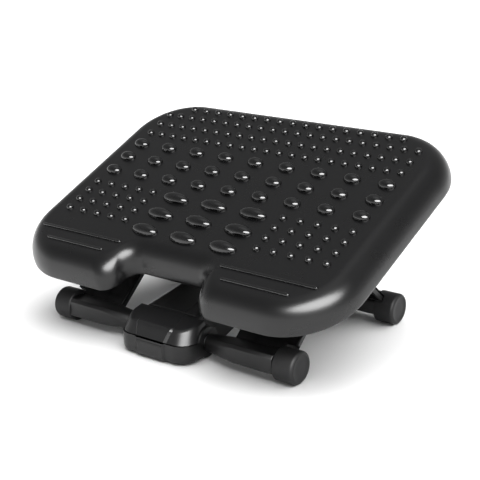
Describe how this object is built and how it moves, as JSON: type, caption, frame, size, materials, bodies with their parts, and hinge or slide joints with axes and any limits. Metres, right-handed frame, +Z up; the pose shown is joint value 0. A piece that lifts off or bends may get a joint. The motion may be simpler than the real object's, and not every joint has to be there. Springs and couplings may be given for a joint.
{
  "type": "tilting footrest",
  "caption": "Under-desk footrest: a wide textured platform that tilts on an axle over two pairs of legs, with a front foot pedal that frees its height lock.",
  "frame": {"origin": "floor level, under the middle of the outline seen from above", "axes": "+X across the platform to the sitter's right, +Y away from the sitter, +Z up"},
  "size_m": [0.456, 0.32, 0.2204],
  "materials": {
    "platform_plastic": "satin black moulded plastic with a fine grain",
    "base_plastic": "matte black moulded plastic",
    "pedal_plastic": "satin dark grey moulded plastic",
    "foot_rubber": "matte dark grey rubber",
    "steel": "zinc-plated steel"
  },
  "bodies": {
    "carriage": {"top_axle": "steel", "axle_spacer": "base_plastic", "axle_clip_left": "steel", "axle_clip_right": "steel"},
    "platform": {"platform": "platform_plastic", "pivot_bracket_left": "base_plastic", "pivot_bracket_right": "base_plastic", "bracket_screw_left_1": "steel", "bracket_screw_left_2": "steel", "bracket_screw_left_3": "steel", "bracket_screw_left_4": "steel", "bracket_screw_right_1": "steel", "bracket_screw_right_2": "steel", "bracket_screw_right_3": "steel", "bracket_screw_right_4": "steel"},
    "front_legs": {"front_leg_left": "base_plastic", "front_leg_right": "base_plastic", "front_bar": "steel", "front_foot_left": "foot_rubber", "front_foot_right": "foot_rubber"},
    "rear_legs": {"rear_leg_left": "base_plastic", "rear_leg_right": "base_plastic", "rear_bar": "steel", "rear_foot_left": "foot_rubber", "rear_foot_right": "foot_rubber", "strap_collar_left": "base_plastic", "strap_collar_right": "base_plastic"},
    "housing": {"housing_base": "base_plastic", "spine_cover": "base_plastic", "pedal_pin": "steel", "lever_pin": "steel", "pedal_spring": "steel", "cover_screw_1": "steel", "cover_screw_2": "steel", "cover_screw_3": "steel", "cover_screw_4": "steel"},
    "pedal": {"foot_pedal": "pedal_plastic"},
    "lever": {"lock_lever": "pedal_plastic", "brake_pad": "foot_rubber"},
    "strap": {"height_strap": "base_plastic"}
  },
  "joints": [
    {"name": "platform_tilt", "type": "hinge", "parent": "carriage", "child": "platform", "pos_m": [0, -0.01262, 0.108], "axis": [1, 0, 0], "range_deg": [-30, 0]},
    {"name": "front_leg_swing", "type": "hinge", "parent": "carriage", "child": "front_legs", "pos_m": [0, -0.01262, 0.108], "axis": [-1, 0, 0], "range_deg": [0, 13]},
    {"name": "rear_leg_swing", "type": "hinge", "parent": "carriage", "child": "rear_legs", "pos_m": [0, -0.01262, 0.108], "axis": [-1, 0, 0], "range_deg": [-13, 0]},
    {"name": "housing_level", "type": "hinge", "parent": "front_legs", "child": "housing", "pos_m": [0, -0.11662, 0.01864], "axis": [-1, 0, 0], "range_deg": [-13, 0]},
    {"name": "strap_level", "type": "hinge", "parent": "rear_legs", "child": "strap", "pos_m": [0, 0.09138, 0.01864], "axis": [-1, 0, 0], "range_deg": [0, 13]},
    {"name": "pedal_press", "type": "hinge", "parent": "housing", "child": "pedal", "pos_m": [0, -0.12462, 0.036], "axis": [1, 0, 0], "range_deg": [0, 3.5], "stiffness_Nm_per_rad": 1, "springref_deg": -5.73, "deforming": ["pedal_spring"]},
    {"name": "lever_lift", "type": "hinge", "parent": "housing", "child": "lever", "pos_m": [0, -0.04662, 0.039], "axis": [1, 0, 0], "range_deg": [-8.1, 0]}
  ],
  "couplings": [
    {"joint": "rear_leg_swing", "follows": "front_leg_swing", "ratio": -1},
    {"joint": "housing_level", "follows": "front_leg_swing", "ratio": -1},
    {"joint": "strap_level", "follows": "front_leg_swing", "ratio": 1},
    {"joint": "lever_lift", "follows": "pedal_press", "ratio": -2.3}
  ]
}
